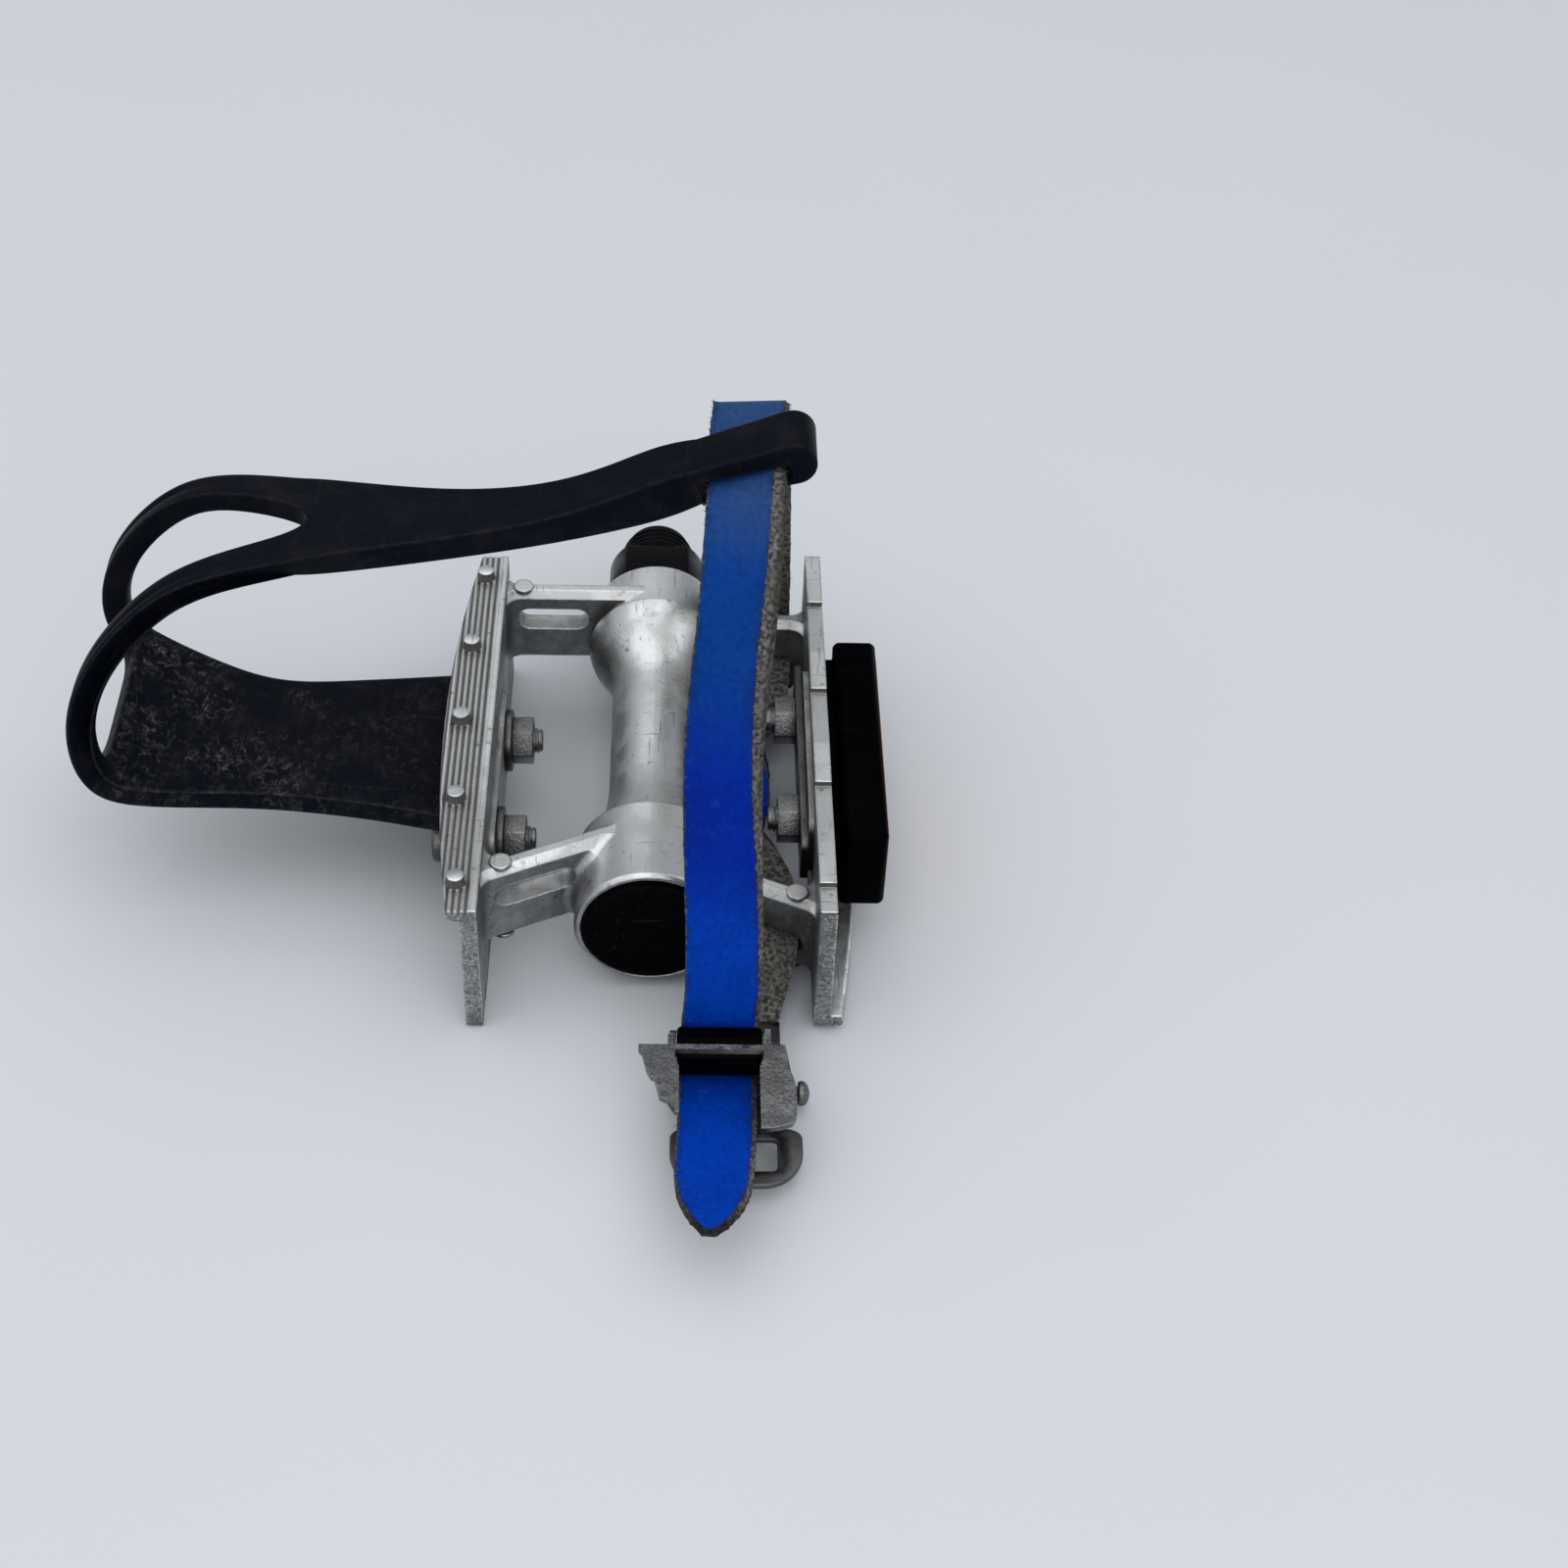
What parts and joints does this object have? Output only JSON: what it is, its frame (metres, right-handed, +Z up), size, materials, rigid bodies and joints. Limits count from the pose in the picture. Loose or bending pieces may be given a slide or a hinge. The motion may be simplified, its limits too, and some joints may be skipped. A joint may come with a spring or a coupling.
{
  "type": "toe clip pedal",
  "caption": "Cast aluminium bicycle pedal on a ball-bearing spindle, with a plastic toe clip, a leather strap with a lever buckle and a rear reflector.",
  "frame": {"origin": "on the spindle axis, at the shoulder that seats against the crank", "axes": "+Y along the spindle towards the crank, +X to the rear of the pedal, +Z up"},
  "size_m": [0.1443, 0.1749, 0.0958],
  "materials": {
    "cage_aluminium": "satin cast aluminium, worn and grimy",
    "black_steel": "black oxide steel",
    "bearing_steel": "ground steel",
    "seal_rubber": "matte black rubber",
    "cap_plastic": "glossy black plastic",
    "clip_plastic": "satin black moulded plastic, scuffed",
    "zinc_steel": "dull zinc plate",
    "reflector_plastic": "black moulded plastic",
    "amber_lens": "clear amber plastic with prisms",
    "blue_leather": "blue coated leather with a grey suede back",
    "buckle_zinc": "dull zinc plated folded sheet",
    "roller_black": "worn black plastic",
    "lever_dark": "dark phosphated steel",
    "spring_steel": "spring wire"
  },
  "bodies": {
    "cage": {"pedal_body": "cage_aluminium", "inner_bearing_cup": "bearing_steel", "outer_bearing_cup": "bearing_steel", "spindle_seal": "seal_rubber", "dust_cap": "cap_plastic", "toe_clip": "clip_plastic", "clip_bolts": "zinc_steel", "clip_outer_washers": "zinc_steel", "clip_inner_washers": "zinc_steel", "clip_nuts": "zinc_steel", "reflector_studs": "zinc_steel", "reflector_nuts": "zinc_steel", "reflector_backing_strip": "zinc_steel", "reflector_housing": "reflector_plastic", "reflector_lens": "amber_lens", "toe_strap": "blue_leather", "buckle_frame": "buckle_zinc", "buckle_roller_pin": "buckle_zinc", "buckle_pivot_pin": "buckle_zinc", "buckle_spring": "spring_steel"},
    "spindle": {"spindle": "black_steel", "outer_cone": "bearing_steel", "lock_washer": "bearing_steel", "lock_nut": "bearing_steel"},
    "inner_ball_ring": {"inner_bearing_balls": "bearing_steel"},
    "outer_ball_ring": {"outer_bearing_balls": "bearing_steel"},
    "roller": {"buckle_roller": "roller_black"},
    "lever": {"buckle_lever": "lever_dark"}
  },
  "joints": [
    {"name": "spindle_spin", "type": "hinge", "parent": "cage", "child": "spindle", "pos_m": [0, 0, 0], "axis": [0, 1, 0], "continuous": true},
    {"name": "inner_ball_roll", "type": "hinge", "parent": "cage", "child": "inner_ball_ring", "pos_m": [0, -0.0156, 0], "axis": [0, 1, 0], "continuous": true},
    {"name": "outer_ball_roll", "type": "hinge", "parent": "cage", "child": "outer_ball_ring", "pos_m": [0, -0.088, 0], "axis": [0, 1, 0], "continuous": true},
    {"name": "roller_spin", "type": "hinge", "parent": "cage", "child": "roller", "pos_m": [0.0122, -0.1257, -0.0033], "axis": [1, 0, 0], "continuous": true},
    {"name": "lever_tilt", "type": "hinge", "parent": "cage", "child": "lever", "pos_m": [0.0122, -0.1277, -0.0119], "axis": [-1, 0, 0], "range_deg": [0, 12], "stiffness_Nm_per_rad": 0.05, "springref_deg": -11.46}
  ],
  "couplings": [
    {"joint": "inner_ball_roll", "follows": "spindle_spin", "ratio": 0.397},
    {"joint": "outer_ball_roll", "follows": "spindle_spin", "ratio": 0.388}
  ]
}
